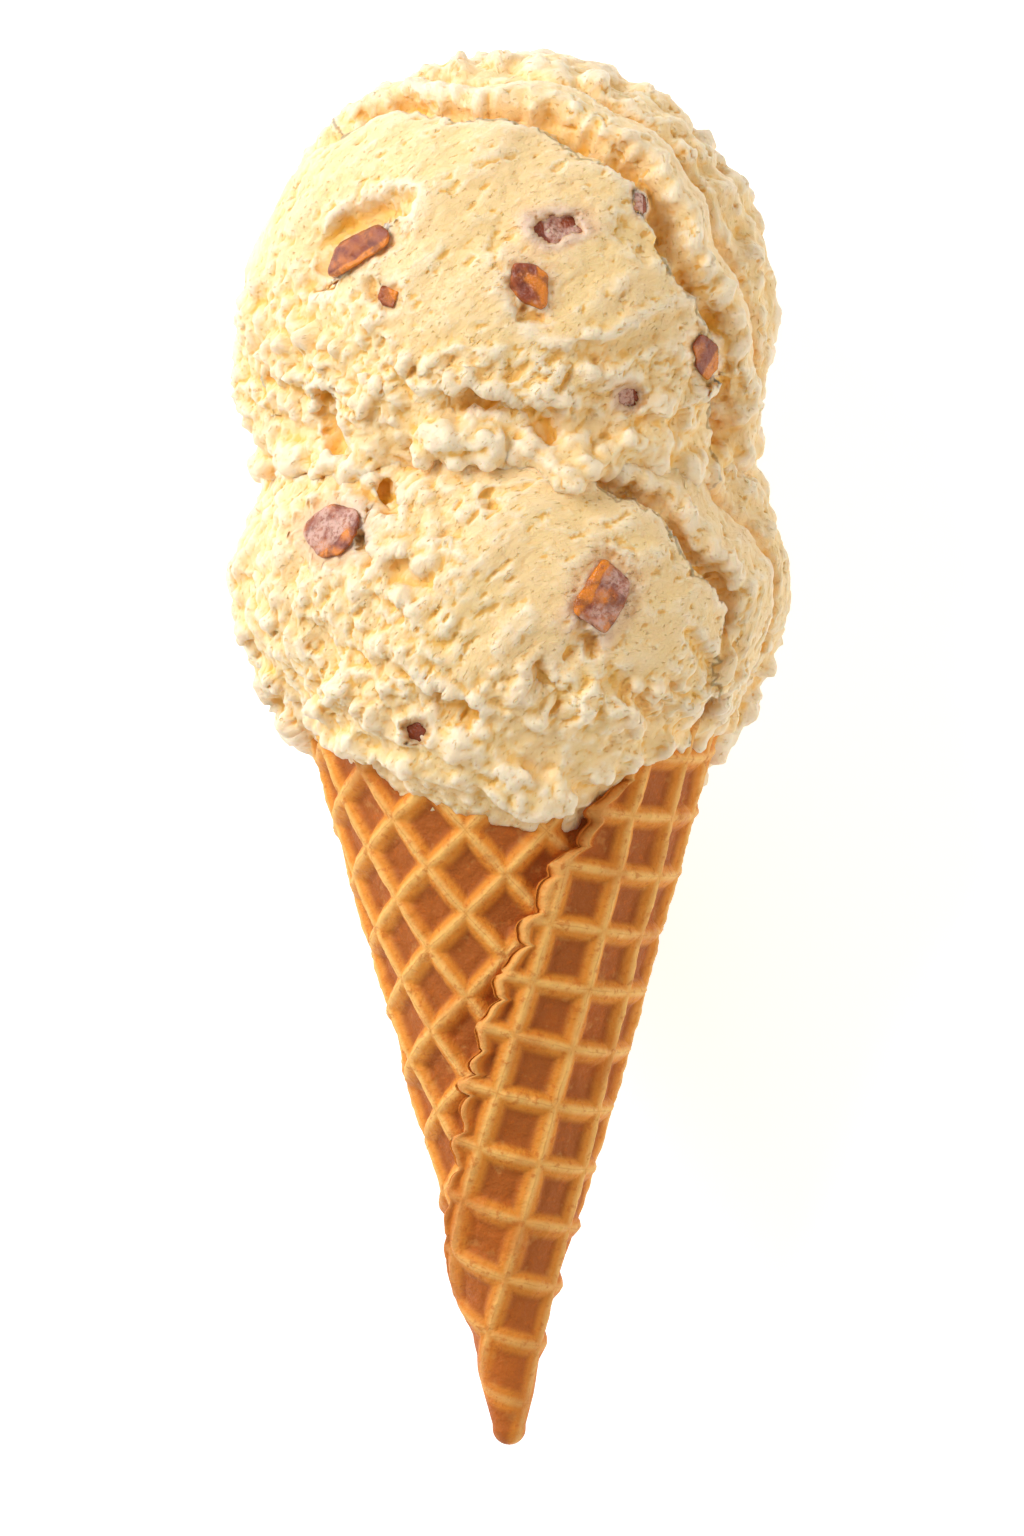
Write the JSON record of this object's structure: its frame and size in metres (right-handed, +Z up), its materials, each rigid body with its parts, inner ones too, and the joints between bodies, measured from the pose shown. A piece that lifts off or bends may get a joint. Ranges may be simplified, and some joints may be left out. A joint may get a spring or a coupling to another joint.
{
  "type": "ice cream cone",
  "caption": "Rolled waffle cone with scoops of pale praline ice cream, lying on its side with the shown side up.",
  "frame": {"origin": "on the surface that the cone lies on, under the middle of its length and width", "axes": "+Y along the cone's axis from the tip to the scoops, +Z up from the surface to the shown side"},
  "size_m": [0.0803, 0.1991, 0.0771],
  "materials": {
    "wafer": "matt toasted waffle wafer",
    "ice_cream": "soft damp frozen cream",
    "praline": "glazed toffee and nut"
  },
  "bodies": {
    "root": {"waffle_cone": "wafer", "scoop_lower": "ice_cream", "scoop_upper": "ice_cream", "praline_01": "praline", "praline_02": "praline", "praline_03": "praline", "praline_04": "praline", "praline_05": "praline", "praline_06": "praline", "praline_07": "praline", "praline_08": "praline", "praline_09": "praline", "praline_10": "praline"}
  },
  "joints": []
}
